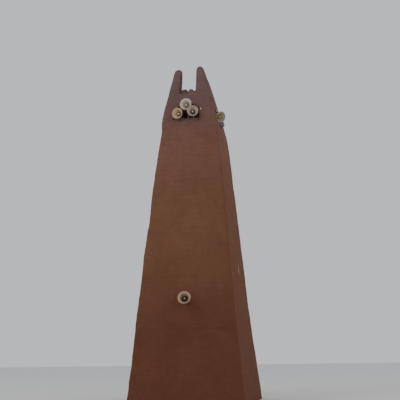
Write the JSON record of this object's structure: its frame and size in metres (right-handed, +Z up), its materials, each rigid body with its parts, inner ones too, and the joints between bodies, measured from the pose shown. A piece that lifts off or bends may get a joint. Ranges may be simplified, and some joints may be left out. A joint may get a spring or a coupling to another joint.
{
  "type": "mud-brick minaret",
  "caption": "Square battered mud-brick minaret: hollow shaft, open belfry with low arches, tapering corner prongs of masonry and re-entrant loudspeakers.",
  "frame": {"origin": "centre of the base on the ground, on the tower's axis, at the underside of the ground floor", "axes": "+Z up; the front wall with the lower loudspeaker faces -Y, the right wall faces +X, the doorway faces +Y"},
  "size_m": [4.004, 4.1301, 12.645],
  "materials": {
    "mud_render": "matt hand-smoothed red-ochre mud render",
    "pale_render": "matt pale grey-green lime wash, worn",
    "packed_earth": "matt trodden earth",
    "palm_wood": "rough dry palm timber",
    "bell_paint": "dusty aged beige enamel",
    "driver_paint": "dusty dull enamel",
    "lamp_cover": "weathered off-white"
  },
  "bodies": {
    "root": {"front_wall": "mud_render", "right_wall": "mud_render", "left_wall": "mud_render", "back_wall_right_of_door": "mud_render", "back_wall_left_of_door": "mud_render", "back_wall_over_door": "mud_render", "front_belfry_wall": "mud_render", "right_belfry_wall": "mud_render", "back_belfry_wall": "mud_render", "left_belfry_wall": "mud_render", "front_parapet": "mud_render", "right_parapet": "mud_render", "back_parapet": "mud_render", "left_parapet": "mud_render", "front_left_prong": "mud_render", "front_right_prong": "mud_render", "back_right_prong": "mud_render", "back_left_prong": "mud_render", "front_sill": "pale_render", "right_sill": "pale_render", "back_sill": "pale_render", "left_sill": "pale_render", "ground_floor": "packed_earth", "threshold": "packed_earth", "belfry_floor": "packed_earth", "roof_slab": "packed_earth", "door_lintel": "palm_wood", "floor_beam_front": "palm_wood", "floor_beam_back": "palm_wood", "roof_beam_front": "palm_wood", "roof_beam_back": "palm_wood", "front_left_horn_bell": "bell_paint", "front_top_horn_bell": "bell_paint", "front_right_horn_bell": "bell_paint", "lower_front_horn_bell": "bell_paint", "right_horn_bell": "bell_paint", "back_horn_bell": "bell_paint", "left_horn_bell": "bell_paint", "front_left_horn_driver": "driver_paint", "front_top_horn_driver": "driver_paint", "front_right_horn_driver": "driver_paint", "lower_front_horn_driver": "driver_paint", "right_horn_driver": "driver_paint", "back_horn_driver": "driver_paint", "left_horn_driver": "driver_paint", "front_lamp": "lamp_cover", "right_lamp": "lamp_cover"}
  },
  "joints": []
}
